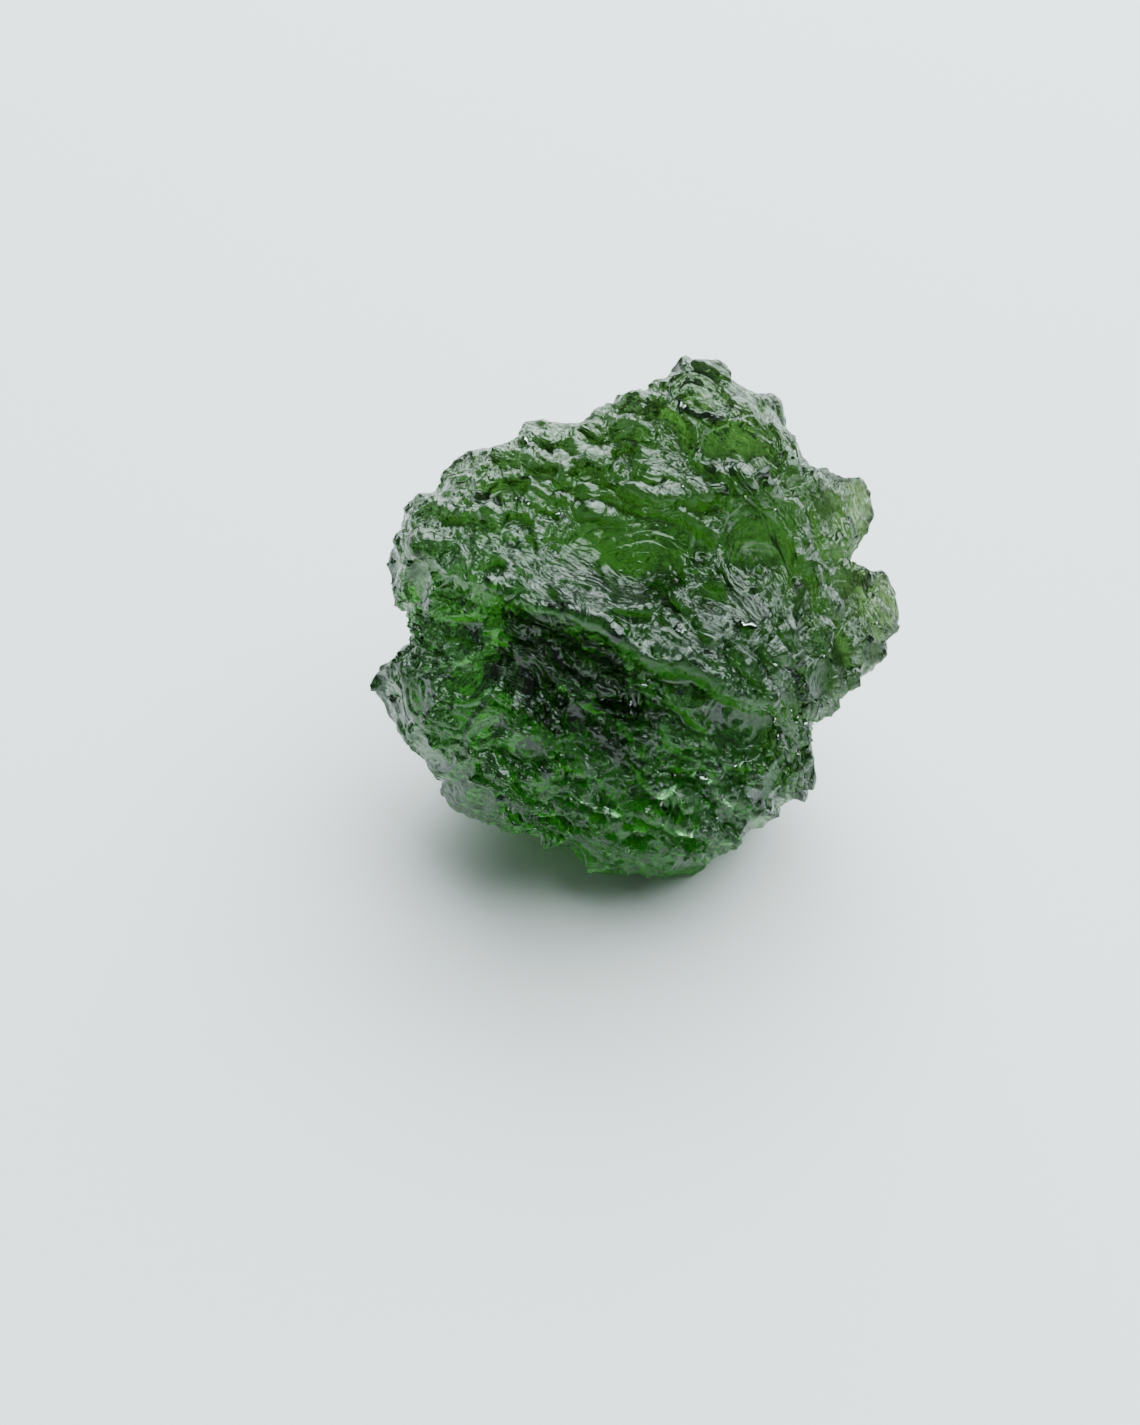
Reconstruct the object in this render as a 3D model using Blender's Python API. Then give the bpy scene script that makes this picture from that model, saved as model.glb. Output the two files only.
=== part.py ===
"""A moldavite: one natural lump of green glass, deeply etched, resting on a small flat spot.

Run it with blender --background --python part.py. Metres, +Z up, and the etched face looks
towards -Y and upwards. The lump is drawn as it is seen along that face's own sight line: an
outline, a front that swells out to a crooked shelf, a back that widens to a heel, and then the
scoops and ledges that etching left. Lengths are in millimetres until the last step.
"""

import itertools
import math
import random

import bmesh
import bpy
import numpy as np

MM = 0.001

# Driving dimensions
FACE_TILT = 38.0  # degrees that the sight line of the etched face rises above level
FRONT_SWELL = 15.5  # from the outline's plane to the top of the front
BACK_SWELL = 9.0  # from the outline's plane to the hindmost point
HEEL_SWELL = 8.7  # how much further back the lump reaches just above its foot
HEEL_UP = -8.5  # how high on the outline the heel reaches furthest
HEEL_HEIGHT = 6.5  # how far above and below that it fades
FOOT_CUT = 1.3  # height of the natural lowest point that the flat spot takes off
SKIN = 0.45  # glass outside the drawn form, about as much as etching takes off its rim
BLUNTNESS = 0.85  # power of the swell towards the rim: 1 is an egg, less is blunter
SPREAD = 0.94  # power that opens the ball's points out to the outline
SPHERE_STEPS = 7  # subdivisions of the ball that becomes the lump
KEPT_FACES = 9400  # triangles left after the ball's finest ones are merged
CUTTER = 80.0  # side of the block whose top face cuts the flat spot

# The outline, right and up from its centre, clockwise from the peak
OUTLINE = [
    # peak and the long right shoulder
    (3.2, 20.3), (4.9, 19.9), (5.9, 18.9), (7.7, 17.9), (9.4, 17.1), (10.8, 15.8),
    (11.7, 14.0), (12.7, 12.6), (13.3, 11.8),
    # upper lobe, the notch under it, and the lower lobe
    (14.4, 11.9), (15.6, 11.5), (17.2, 11.4), (18.0, 10.4), (18.4, 8.6), (17.5, 6.9),
    (16.7, 5.4), (16.2, 4.2), (17.2, 3.8), (18.5, 3.8), (19.4, 2.4), (19.9, 0.9),
    (19.6, -0.7), (18.3, -1.3), (18.1, -3.1), (16.7, -4.6), (15.3, -5.8), (14.5, -6.8),
    # round the lower right to the foot
    (13.1, -7.6), (13.0, -9.0), (12.7, -11.0), (12.0, -13.2), (10.6, -14.8), (9.0, -16.2),
    (7.7, -17.2), (5.9, -18.0), (4.2, -19.1), (2.0, -19.8), (-0.4, -20.0), (-2.4, -20.2),
    # lower left edge, thin and chipped
    (-4.2, -19.4), (-5.5, -18.0), (-7.0, -17.5), (-8.4, -16.6), (-10.7, -16.0),
    (-12.5, -15.1), (-14.4, -13.8), (-15.4, -12.0), (-16.8, -10.3), (-18.0, -9.0),
    (-19.5, -7.1), (-20.1, -4.5), (-19.4, -3.3), (-18.1, -2.6),
    # the left notch and the long left shoulder
    (-17.3, -1.3), (-17.6, 0.2), (-19.1, 2.1), (-19.7, 4.2), (-19.1, 6.5), (-17.5, 8.9),
    (-15.5, 10.8), (-14.3, 12.2), (-12.5, 13.0), (-10.5, 13.9), (-8.6, 15.1), (-6.4, 15.5),
    (-4.5, 15.4), (-2.9, 16.3), (-1.3, 17.7), (1.4, 18.5), (2.4, 19.6),
]
OUTLINE_SMOOTHING = 16.0  # degrees over which the outline is averaged further in

# The shelf that crosses the front, right and up
SHELF = [(-20.0, 5.2), (-10.7, 2.8), (-6.1, 1.2), (-1.7, -0.8), (3.4, -2.6), (6.4, -4.8), (10.2, -6.6),
         (13.0, -7.6), (20.0, -10.0)]
SHELF_RISE = 2.9  # how far the shelf stands out beyond the upper face
SHELF_HEIGHT = 5.2  # height over which it comes out
SHELF_STEEPENING = 1.6  # power by which it comes out faster towards its lip
SHELF_DROP = 4.2  # how far the face below the shelf stands back from it
SHELF_LIP = 1.3  # height over which it drops
SHELF_WANDER = [(5.1, 0.6, 2.0), (2.3, 0.5, 0.0), (1.1, 0.3, 1.3)]  # its scallops: length, reach, phase
# The brow over the great scoop, right and up
BROW = [(-5.3, 9.9), (-1.2, 9.5), (2.0, 9.4), (4.2, 9.3), (6.2, 10.2), (9.2, 10.8)]
BROW_RISE = 2.0  # how far it stands out
BROW_HEIGHT = 2.8  # height over which it comes out
BROW_LIP = 0.9  # height over which it falls back
BROW_ENDS = (-9.0, -4.0, 9.0, 12.5)  # it rises between the first two and fades between the others
SLOPE_ABOVE = 0.20  # how much the front falls away above the shelf, per millimetre
SLOPE_BELOW = 0.16  # and below it
# Ledges that cross the front as the shelf does: side of the shelf, how far from it they have come
# out, spacing, depth, share of the spacing over which the surface climbs before it falls back, and
# how much they wander
LEDGES = [(1, 6.0, 2.7, 0.9, 0.48, 0.4), (-1, 2.5, 3.1, 0.95, 0.32, 1.0)]
LEDGE_NOISE = [(4.2, 1.0), (1.9, 0.5)]  # lengths over which they wander, and how much each counts
LEDGE_GAPS = (5.0, -0.3, 0.3)  # below the shelf they fade out in places: length, from, to
NOISE_MIX = (12.9898, 78.233, 37.719)  # any numbers that jumble the cells of the noise
NOISE_SPREAD = 43758.5453
FLATNESS = 0.6  # 1 cuts straight towards the lump's middle, and less cuts more along the sight line
SWELLS = [(4.6, 0.8), (2.4, 0.3)]  # broad uneven swellings of the whole lump: length, height
WING_START = 7.0  # rightward distance past which the lump thins into its two lobes
WING_THINNING = 0.50
WING_LEAN = 0.4  # how much the lobes' front leans back, per millimetre
WING_MIDDLE = 3.0  # height at which that lean changes nothing
RIM_WAVES = [(2, 1.5, 35.0), (3, 1.3, 200.0), (5, 0.7, 80.0)]  # waves round the rim, size, degrees

# Scoops of the etched face: right, up, half length, half width, turn in degrees, depth, and for
# some how much deeper they cut towards their lower edge
BROAD_SCOOPS = [
    # the peak's three and the grey hollows beside them
    (4.4, 16.4, 2.7, 1.9, -32, 1.3, 0.3), (6.2, 12.0, 4.0, 2.0, 0, 1.8, 0.7), (0.9, 12.9, 1.6, 3.0, 12, 1.4, 0.6),
    (-0.2, 17.2, 1.4, 1.0, 0, 0.5), (7.9, 16.8, 1.3, 1.1, 20, 0.7), (10.1, 15.2, 1.2, 1.5, 20, 0.6),
    # the great bean-shaped scoop and its right-hand neighbours
    (0.4, 5.1, 6.3, 3.5, -5, 2.2, 0.9), (8.2, 4.6, 3.0, 4.5, 8, 2.0, 0.6), (5.6, 1.6, 2.9, 1.5, -15, 1.1),
    (11.4, 1.0, 1.5, 2.7, -18, 0.9), (12.4, 6.2, 1.3, 3.6, 12, 0.7),
    # upper lobe and lower lobe
    (14.2, 7.4, 2.2, 2.0, -10, 1.0), (16.6, 8.4, 1.2, 1.8, 0, 0.7), (16.0, 1.3, 3.1, 1.7, 8, 1.1),
    (16.6, -3.1, 1.6, 1.6, 0, 0.8), (13.2, -2.8, 1.6, 2.0, 15, 0.8), (12.0, -5.0, 2.0, 1.5, -30, 0.7),
    # left shoulder, in rows
    (-10.7, 8.2, 2.2, 1.6, -12, 1.1), (-8.0, 9.9, 1.5, 1.2, 0, 0.8), (-4.5, 10.3, 2.2, 0.9, -5, 0.9),
    (-2.5, 11.5, 1.3, 1.5, 0, 0.9), (-6.8, 12.2, 1.4, 0.7, 5, 0.6), (-11.9, 12.0, 2.0, 0.9, 18, 0.5),
    (-13.7, 9.8, 1.4, 1.0, 25, 0.5), (-8.8, 6.1, 1.7, 1.0, -8, 0.9), (-5.9, 5.2, 1.2, 1.7, 20, 0.8),
    # left end
    (-16.3, 2.8, 1.8, 1.9, -20, 1.1), (-13.9, 2.0, 1.6, 1.2, 0, 0.9), (-10.3, 3.6, 1.7, 0.9, -5, 0.8),
    (-17.6, 6.2, 1.1, 1.3, 0, 0.5),
    # the hollows in the shelf, and one under its lip
    (-3.0, 3.1, 2.4, 1.0, -12, 1.0), (-0.6, 1.2, 2.4, 0.8, -20, 0.9), (2.6, 0.0, 1.2, 0.6, -24, 0.6),
    (-5.6, -0.8, 1.4, 1.0, -30, 0.7),
    # below the shelf, left
    (-13.9, -0.6, 2.6, 1.2, 4, 1.0), (-10.4, -0.4, 1.1, 0.8, 0, 1.0), (-13.5, -4.4, 2.6, 1.6, 0, 0.9),
    (-9.2, -5.0, 1.5, 2.2, 15, 0.9), (-5.3, -7.4, 1.3, 2.0, 0, 0.9), (-12.0, -8.2, 2.2, 1.4, 10, 0.8),
    (-17.6, -5.4, 1.6, 2.0, 10, 0.6), (-9.0, -10.2, 2.4, 1.5, 20, 0.7), (-11.4, -13.2, 2.2, 1.8, -30, 0.6),
    # below the shelf, middle and right
    (6.5, -7.6, 2.4, 3.0, 10, 1.2), (9.6, -11.4, 2.2, 2.4, -10, 0.8),
]
NESTED_SCOOPS = [  # smaller scoops cut in the floors of the broad ones
    (0.7, 4.4, 3.5, 2.2, -14, 0.7, 0.4), (5.1, 5.4, 1.2, 1.9, 10, 0.7, 0.4), (0.9, 4.2, 2.0, 1.1, -14, 0.3),
    (8.1, 11.9, 1.8, 1.2, 0, 0.4), (3.5, 15.4, 1.4, 1.0, -20, 0.4), (9.0, 4.6, 1.6, 1.4, 0, 0.5),
    (16.8, 1.0, 1.3, 0.9, 10, 0.4), (6.5, -6.2, 1.4, 1.2, 0, 0.4), (-2.0, -17.5, 0.7, 0.7, 0, 0.5),
]
SCOOP_HARDNESS = 0.7  # power of a scoop's bowl: 1 is a shallow dish, 0.5 half an egg

WARP = [(2.6, 0.50), (1.2, 0.24)]  # waves that bend every scoop's edge: length, reach
FULL_DEPTH = 0.7  # depth of a placed scoop at which it has worn away what was there before
LEFT_OVER = 0.4  # share of the scoops spread by rule that still shows in it

# Scoops spread by rule, broad on the sides and back and small between the placed ones
SPREAD_SCOOPS = 560
BACK_RADIUS = (1.6, 4.2)
FACE_RADIUS = (1.3, 2.9)
FACE_LEAN = 0.5  # how squarely a spot has to face the viewer to count as the etched face
SPREAD_DEPTH = 0.40  # share of the radius
SPREAD_JITTER = (0.04, 0.25)  # how far they stray from even rows, up the ball and round it
SPREAD_SEED = 11


def sight_axes():
    """Right, up and towards the viewer, as seen along the etched face's sight line."""
    tilt = math.radians(FACE_TILT)
    right = np.array((1.0, 0.0, 0.0))
    up = np.array((0.0, math.sin(tilt), math.cos(tilt)))
    return right, up, np.cross(right, up)


def outline_radius(angle, inward):
    """Distance from the centre to the outline at these angles, averaged where inward is near 1."""
    corners = np.array(OUTLINE)
    turn = np.degrees(np.arctan2(corners[:, 1], corners[:, 0])) % 360
    order = np.argsort(turn)
    length = np.hypot(*corners.T)[order]
    turn = turn[order]
    degrees = np.degrees(angle)
    sharp = np.interp(degrees, turn, length, period=360)
    offsets = np.linspace(-OUTLINE_SMOOTHING, OUTLINE_SMOOTHING, 9)
    weights = np.cos(np.radians(90 * offsets / (OUTLINE_SMOOTHING + 4)))
    soft = sum(w * np.interp(degrees + o, turn, length, period=360) for o, w in zip(offsets, weights))
    return sharp + (soft / weights.sum() - sharp) * inward


def smooth_step(low, high, value):
    share = np.clip((value - low) / (high - low), 0, 1)
    return share * share * (3 - 2 * share)


def winding(along, waves):
    """A sum of waves along a line, each with its length, reach and phase."""
    return sum(reach * np.sin(along / length + phase) for length, reach, phase in waves)


def brow(right, up):
    """How far the brow over the great scoop stands out."""
    above = up - np.interp(right, *np.array(BROW).T) + winding(right, SHELF_WANDER[1:])
    coming = np.clip(1 - above / BROW_HEIGHT, 0, 1) ** SHELF_STEEPENING
    swell = np.where(above > 0, coming, smooth_step(-BROW_LIP, 0, above))
    left, full, last, gone = BROW_ENDS
    return BROW_RISE * swell * smooth_step(left, full, right) * smooth_step(gone, last, right)


def lump_form(ball):
    """The lump before etching, in sight axes, for points on the unit ball."""
    across = np.hypot(ball[:, 0], ball[:, 1])
    angle = np.arctan2(ball[:, 1], ball[:, 0])
    radius = outline_radius(angle, 1 - across**5) * across**SPREAD
    right, up = radius * np.cos(angle), radius * np.sin(angle)
    toward = ball[:, 2]

    above = up - np.interp(right, *np.array(SHELF).T) + winding(right, SHELF_WANDER)
    thin = 1 - WING_THINNING * smooth_step(WING_START, 19.0, right)
    dome = np.abs(toward) ** BLUNTNESS
    front = FRONT_SWELL * thin - np.where(above > 0, SLOPE_ABOVE, -SLOPE_BELOW) * above
    front += SHELF_RISE * np.clip(1 - above / SHELF_HEIGHT, 0, 1) ** SHELF_STEEPENING
    front -= WING_LEAN * (up - WING_MIDDLE) * smooth_step(10.0, 15.0, right)
    front += brow(right, up) - SHELF_DROP * smooth_step(0, -SHELF_LIP, above)
    back = BACK_SWELL * thin + HEEL_SWELL * np.exp(-(((up - HEEL_UP) / HEEL_HEIGHT) ** 2))
    depth = np.where(toward > 0, front, -back) * dome
    for length, height in SWELLS:
        depth += height * dome * np.sin(right / length + 2 * np.sin(up / (1.7 * length))) * np.cos(
            up / length + np.sin(depth / length))
    rim = sum(size * np.sin(count * angle + math.radians(phase)) for count, size, phase in RIM_WAVES)
    return np.column_stack((right, up, depth + rim * across**3))


def outward(ball):
    """The smooth way out of the lump along which etching cuts, for points on the unit ball."""
    way = ball * (FLATNESS, FLATNESS, 1.0)
    return way / np.linalg.norm(way, axis=1)[:, None]


def noise(points, length):
    """Smooth random numbers from -1 to 1 that change over about this length."""
    cell = np.floor(points / length)
    share = points / length - cell
    share = share * share * (3 - 2 * share)
    total = np.zeros(len(points))
    for corner in itertools.product((0, 1), repeat=3):
        weight = np.prod(np.where(corner, share, 1 - share), axis=1)
        jumble = np.sin((cell + corner) @ NOISE_MIX) * NOISE_SPREAD
        total += weight * (jumble - np.floor(jumble))
    return 2 * total - 1


def ledges(points):
    """Broken ledges that climb the front like stairs, as a height to add."""
    right, up, toward = points.T
    above = up - np.interp(right, *np.array(SHELF).T)
    stray = sum(weight * noise(points, length) for length, weight in LEDGE_NOISE)
    height = np.zeros(len(points))
    length, low, high = LEDGE_GAPS
    kept = np.maximum(smooth_step(low, high, noise(points, length)), smooth_step(-1, 1, above))
    for side, start, spacing, depth, share, wander in LEDGES:
        rise = (above / spacing + wander * stray) % 1
        stairs = np.where(rise < share, rise / share, (1 - rise) / (1 - share))
        height += depth * kept * stairs * smooth_step(0.2 * start, start, side * above)
    return height * smooth_step(0, 4, toward)


def bent(points):
    """The points moved about by smooth waves, so that no scoop's edge is a true ellipse."""
    moved = points.copy()
    for length, reach in WARP:
        for axis in range(3):
            other, third = points[:, (axis + 1) % 3] / length, points[:, (axis + 2) % 3] / length
            moved[:, axis] += reach * (np.sin(other + 1.7 * axis) + np.sin(1.3 * third + 2.9 * axis))
    return moved


def scoop_depth(points, centre, axes, half_sizes, depth, lean=0.0):
    """How deep one bowl cuts at each point: an egg-shaped dent with a hard edge."""
    local = (points - centre) @ np.array(axes).T / np.array(half_sizes)
    bowl = np.clip(1 - (local**2).sum(axis=1), 0, 1)
    return depth * bowl**SCOOP_HARDNESS * (1 - lean * local[:, 1])


def placed_scoops(points, ways, scoops):
    """The deepest of the hand-placed scoops at each point of the etched face."""
    cut = np.zeros(len(points))
    facing = np.where(ways[:, 2] > 0)[0]
    for right, up, half_length, half_width, turn, depth, *lean in scoops:
        gap = np.hypot(points[facing, 0] - right, points[facing, 1] - up)
        spot = facing[np.argmin(gap)]
        out = ways[spot]
        angle = math.radians(turn)
        along = np.array((math.cos(angle), math.sin(angle), 0.0))
        along -= out * (along @ out)
        along /= np.linalg.norm(along)
        axes = (along, np.cross(out, along), out)
        # On a slope the scoop keeps the width that it shows along the sight line.
        sizes = (half_length, half_width / max(0.6, out[2]), 0.8 * max(half_length, half_width))
        cut = np.maximum(cut, scoop_depth(points, points[spot], axes, sizes, depth, *lean))
    return cut


def spread_scoops(points, ways):
    """Scoops spread all over the lump, small on the etched face and broad elsewhere."""
    rng = random.Random(SPREAD_SEED)
    golden = math.pi * (3 - math.sqrt(5))
    cut = np.zeros(len(points))
    for i in range(SPREAD_SCOOPS):
        height = 1 - 2 * (i + 0.5) / SPREAD_SCOOPS + rng.uniform(-1, 1) * SPREAD_JITTER[0]
        height = max(-1.0, min(1.0, height))
        angle = i * golden + rng.uniform(-1, 1) * SPREAD_JITTER[1]
        flat = math.sqrt(1 - height * height)
        seed = lump_form(np.array([(flat * math.cos(angle), flat * math.sin(angle), height)]))[0]
        size, stretch, turn = rng.random(), rng.uniform(0.6, 0.95), rng.uniform(0, math.pi)
        spot = np.argmin(((points - seed) ** 2).sum(axis=1))
        out = ways[spot]
        least, most = FACE_RADIUS if out[2] > FACE_LEAN else BACK_RADIUS
        radius = least + (most - least) * size
        along = np.cross(out, (math.sin(turn), math.cos(turn), 0.3))
        along /= np.linalg.norm(along)
        axes = (along, np.cross(out, along), out)
        sizes = (radius, radius * stretch, radius)
        depth = SPREAD_DEPTH * radius * stretch
        cut = np.maximum(cut, scoop_depth(points, points[spot], axes, sizes, depth))
    return cut


def etch_depth(points, ways):
    """How deep etching cut at each point: placed scoops, spread ones between them, and ledges."""
    wavy = bent(points)
    placed = placed_scoops(wavy, ways, BROAD_SCOOPS)
    between = 1 - smooth_step(0.0, FULL_DEPTH, placed)
    spread = spread_scoops(wavy, ways) * (LEFT_OVER + (1 - LEFT_OVER) * between)
    cut = np.maximum(placed, spread)
    return cut + placed_scoops(wavy, ways, NESTED_SCOOPS) - ledges(points) * between


def make_lump():
    """The etched lump as one closed mesh, before its flat spot is cut."""
    grid = bmesh.new()
    bmesh.ops.create_icosphere(grid, subdivisions=SPHERE_STEPS, radius=1.0)
    mesh = bpy.data.meshes.new("moldavite")
    grid.to_mesh(mesh)
    grid.free()

    ball = np.empty(len(mesh.vertices) * 3)
    mesh.vertices.foreach_get("co", ball)
    ball = ball.reshape(-1, 3)
    points, ways = lump_form(ball), outward(ball)
    points += ways * (SKIN - etch_depth(points, ways))[:, None]
    points = points @ np.array(sight_axes())
    low, high = points.min(axis=0), points.max(axis=0)
    points -= ((low[0] + high[0]) / 2, (low[1] + high[1]) / 2, low[2] + FOOT_CUT)
    mesh.vertices.foreach_set("co", (points * MM).ravel())
    mesh.update()
    return mesh


def glass_material():
    glass = bpy.data.materials.new("moldavite_glass")
    glass.use_nodes = True
    surface = glass.node_tree.nodes["Principled BSDF"]
    surface.inputs["Base Color"].default_value = (0.10, 0.22, 0.05, 1)
    surface.inputs["Roughness"].default_value = 0.2
    surface.inputs["Metallic"].default_value = 0.0
    surface.inputs["IOR"].default_value = 1.49
    surface.inputs["Transmission Weight"].default_value = 1.0
    return glass


def main():
    for old in list(bpy.data.objects):
        bpy.data.objects.remove(old)
    stone_set = bpy.data.collections.new("moldavite")
    cutters = bpy.data.collections.new("cutters")
    for collection in (stone_set, cutters):
        bpy.context.scene.collection.children.link(collection)

    stone = bpy.data.objects.new("moldavite", make_lump())
    stone.data.materials.append(glass_material())
    stone_set.objects.link(stone)
    fewer = stone.modifiers.new("fewer faces", "DECIMATE")
    fewer.ratio = KEPT_FACES / len(stone.data.polygons)

    bpy.ops.mesh.primitive_cube_add(size=CUTTER * MM, location=(0, 0, -CUTTER * MM / 2))
    floor = bpy.context.object
    floor.name = "floor_cutter"
    for other in floor.users_collection:
        other.objects.unlink(floor)
    cutters.objects.link(floor)
    floor.hide_render = True
    floor.display_type = "WIRE"
    flat_spot = stone.modifiers.new("flat spot", "BOOLEAN")
    flat_spot.operation = "DIFFERENCE"
    flat_spot.object = floor


main()
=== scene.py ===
"""The looks of the moldavite: its etched glass, the pale floor, soft studio light and the camera.

The lump is drawn as in the part's own source, in millimetres along the etched face's sight line,
and finer: first the form and its scoops, then a Geometry Nodes tree that etches small bowls, flecks
and ledges, and last the see-through glass.
"""

import itertools
import math
import random

import bmesh
import bpy
import numpy as np
from bpy.props import FloatProperty, FloatVectorProperty, IntProperty, PointerProperty
from mathutils import Matrix, Vector


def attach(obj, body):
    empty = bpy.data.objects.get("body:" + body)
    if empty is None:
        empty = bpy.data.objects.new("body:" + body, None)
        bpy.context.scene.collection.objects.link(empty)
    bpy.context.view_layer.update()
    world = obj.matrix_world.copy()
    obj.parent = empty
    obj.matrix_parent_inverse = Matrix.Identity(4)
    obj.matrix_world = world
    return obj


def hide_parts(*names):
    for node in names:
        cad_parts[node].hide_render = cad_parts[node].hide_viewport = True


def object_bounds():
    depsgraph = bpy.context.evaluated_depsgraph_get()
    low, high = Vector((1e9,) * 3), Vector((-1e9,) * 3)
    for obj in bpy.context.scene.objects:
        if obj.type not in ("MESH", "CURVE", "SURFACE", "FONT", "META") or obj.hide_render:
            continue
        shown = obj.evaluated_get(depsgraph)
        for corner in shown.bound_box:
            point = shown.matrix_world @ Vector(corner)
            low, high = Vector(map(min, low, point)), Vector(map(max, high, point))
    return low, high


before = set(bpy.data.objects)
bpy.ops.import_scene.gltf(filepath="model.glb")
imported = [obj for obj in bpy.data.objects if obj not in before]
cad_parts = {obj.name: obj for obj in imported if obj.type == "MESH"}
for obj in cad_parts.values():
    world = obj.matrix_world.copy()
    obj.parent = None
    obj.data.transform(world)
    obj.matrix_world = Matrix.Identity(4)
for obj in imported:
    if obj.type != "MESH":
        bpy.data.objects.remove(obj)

bl_info = {
    "name": "Moldavite",
    "version": (1, 0, 0),
    "blender": (4, 5, 0),
    "location": "3D View > Sidebar > Moldavite",
    "description": "An etched lump of green natural glass on a pale studio floor",
    "category": "Object",
}

CAD_BOX = [tuple(corner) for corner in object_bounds()]
MM = 0.001
NODE = "moldavite"

# The outline along the sight line, right and up from its centre in millimetres, clockwise
OUTLINE = [
    # peak and the long right shoulder
    (3.2, 20.3), (4.9, 19.9), (5.9, 18.9), (7.7, 17.9), (9.4, 17.1), (10.8, 15.8),
    (11.7, 14.0), (12.7, 12.6), (13.3, 11.8),
    # upper lobe, the notch under it, and the lower lobe
    (14.4, 11.9), (15.6, 11.5), (17.2, 11.4), (18.0, 10.4), (18.4, 8.6), (17.5, 6.9),
    (16.7, 5.4), (16.2, 4.2), (17.2, 3.8), (18.5, 3.8), (19.4, 2.4), (19.9, 0.9),
    (19.6, -0.7), (18.3, -1.3), (18.1, -3.1), (16.7, -4.6), (15.3, -5.8), (14.5, -6.8),
    # round the lower right to the foot
    (13.1, -7.6), (13.0, -9.0), (12.7, -11.0), (12.0, -13.2), (10.6, -14.8), (9.0, -16.2),
    (7.7, -17.2), (5.9, -18.0), (4.2, -19.1), (2.0, -19.8), (-0.4, -20.0), (-2.4, -20.2),
    # lower left edge, thin and chipped
    (-4.2, -19.4), (-5.5, -18.0), (-7.0, -17.5), (-8.4, -16.6), (-10.7, -16.0),
    (-12.5, -15.1), (-14.4, -13.8), (-15.4, -12.0), (-16.8, -10.3), (-18.0, -9.0),
    (-19.5, -7.1), (-20.1, -4.5), (-19.4, -3.3), (-18.1, -2.6),
    # the left notch and the long left shoulder
    (-17.3, -1.3), (-17.6, 0.2), (-19.1, 2.1), (-19.7, 4.2), (-19.1, 6.5), (-17.5, 8.9),
    (-15.5, 10.8), (-14.3, 12.2), (-12.5, 13.0), (-10.5, 13.9), (-8.6, 15.1), (-6.4, 15.5),
    (-4.5, 15.4), (-2.9, 16.3), (-1.3, 17.7), (1.4, 18.5), (2.4, 19.6),
]
OUTLINE_SMOOTHING = 16.0  # degrees over which the outline is averaged further in
OUTLINE_FADE = 4.0  # degrees past those at which an angle would count for nothing
OUTLINE_SAMPLES = 9  # angles that each average takes
OUTLINE_POWER = 5  # the larger, the nearer to the rim the averaging begins

# The shelf that crosses the front, right and up
SHELF = [(-20.0, 5.2), (-10.7, 2.8), (-6.1, 1.2), (-1.7, -0.8), (3.4, -2.6), (6.4, -4.8),
         (10.2, -6.6), (13.0, -7.6), (20.0, -10.0)]
# A line along which the glass once flowed, like the shelf but bending down at the right
FLOW = [(-20.0, 5.2), (-10.7, 2.8), (-6.0, 0.4), (1.0, -2.6), (5.0, -4.6), (8.0, -6.6),
        (10.0, -10.0), (12.0, -15.0), (20.0, -38.0)]
SHELF_RISE = 2.9  # how far the shelf stands out beyond the upper face
SHELF_HEIGHT = 5.2  # height over which it comes out
SHELF_STEEPENING = 1.6  # power by which it comes out faster towards its lip
SHELF_DROP = 4.2  # how far the face below the shelf stands back from it
SHELF_LIP = 1.3  # height over which it drops
# Its scallops: length, reach and phase
SHELF_WANDER = [(5.1, 0.6, 2.0), (2.3, 0.5, 0.0), (1.1, 0.3, 1.3)]
# The brow over the great scoop, right and up
BROW = [(-5.3, 9.9), (-1.2, 9.5), (2.0, 9.4), (4.2, 9.3), (6.2, 10.2), (9.2, 10.8)]
BROW_RISE = 2.0  # how far it stands out
BROW_HEIGHT = 2.8  # height over which it comes out
BROW_LIP = 0.9  # height over which it falls back
BROW_ENDS = (-9.0, -4.0, 9.0, 12.5)  # it rises between the first two and fades between the others
SLOPE_ABOVE = 0.20  # how much the front falls away above the shelf, per millimetre
SLOPE_BELOW = 0.16  # and below it
# Ledges that cross the front as the shelf does: side of the shelf, how far from it they have come
# out, spacing, depth, share of the spacing over which the surface climbs before it falls back, and
# how much they wander
LEDGES = [(1, 6.0, 2.7, 0.9, 0.48, 0.4), (-1, 2.5, 3.1, 0.95, 0.32, 1.0)]
LEDGE_NOISE = [(4.2, 1.0), (1.9, 0.5)]  # lengths over which they wander, and how much each counts
LEDGE_GAPS = (5.0, -0.3, 0.3)  # below the shelf they fade out in places: length, from, to
LEDGE_START = 0.2  # share of the way to where they have come out at which they begin
LEDGE_FRONT = (0, 4)  # how far before the outline's plane they come out
NOISE_MIX = (12.9898, 78.233, 37.719)  # any numbers that jumble the cells of the noise
NOISE_SPREAD = 43758.5453
FLATNESS = 0.6  # 1 cuts straight towards the lump's middle, and less cuts more along the sight line
SWELLS = [(4.6, 0.8), (2.4, 0.3)]  # broad uneven swellings of the whole lump: length, height
SWELL_BEND = 2  # how far they bend, in radians
SWELL_BEND_LENGTH = 1.7  # and over how many of their own lengths
WING_SPAN = (7.0, 19.0)  # rightward distances over which the lump thins into its two lobes
WING_THINNING = 0.50
WING_LEAN = 0.4  # how much the lobes' front leans back, per millimetre
WING_LEAN_SPAN = (10.0, 15.0)  # rightward distances over which that lean comes in
WING_MIDDLE = 3.0  # height at which it changes nothing
RIM_WAVES = [(2, 1.5, 35.0), (3, 1.3, 200.0), (5, 0.7, 80.0)]  # waves round the rim, size, degrees
RIM_POWER = 3  # the larger, the nearer to the rim they begin
FRONT_SWELL = 15.5  # from the outline's plane to the top of the front
BACK_SWELL = 9.0  # from the outline's plane to the hindmost point
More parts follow.
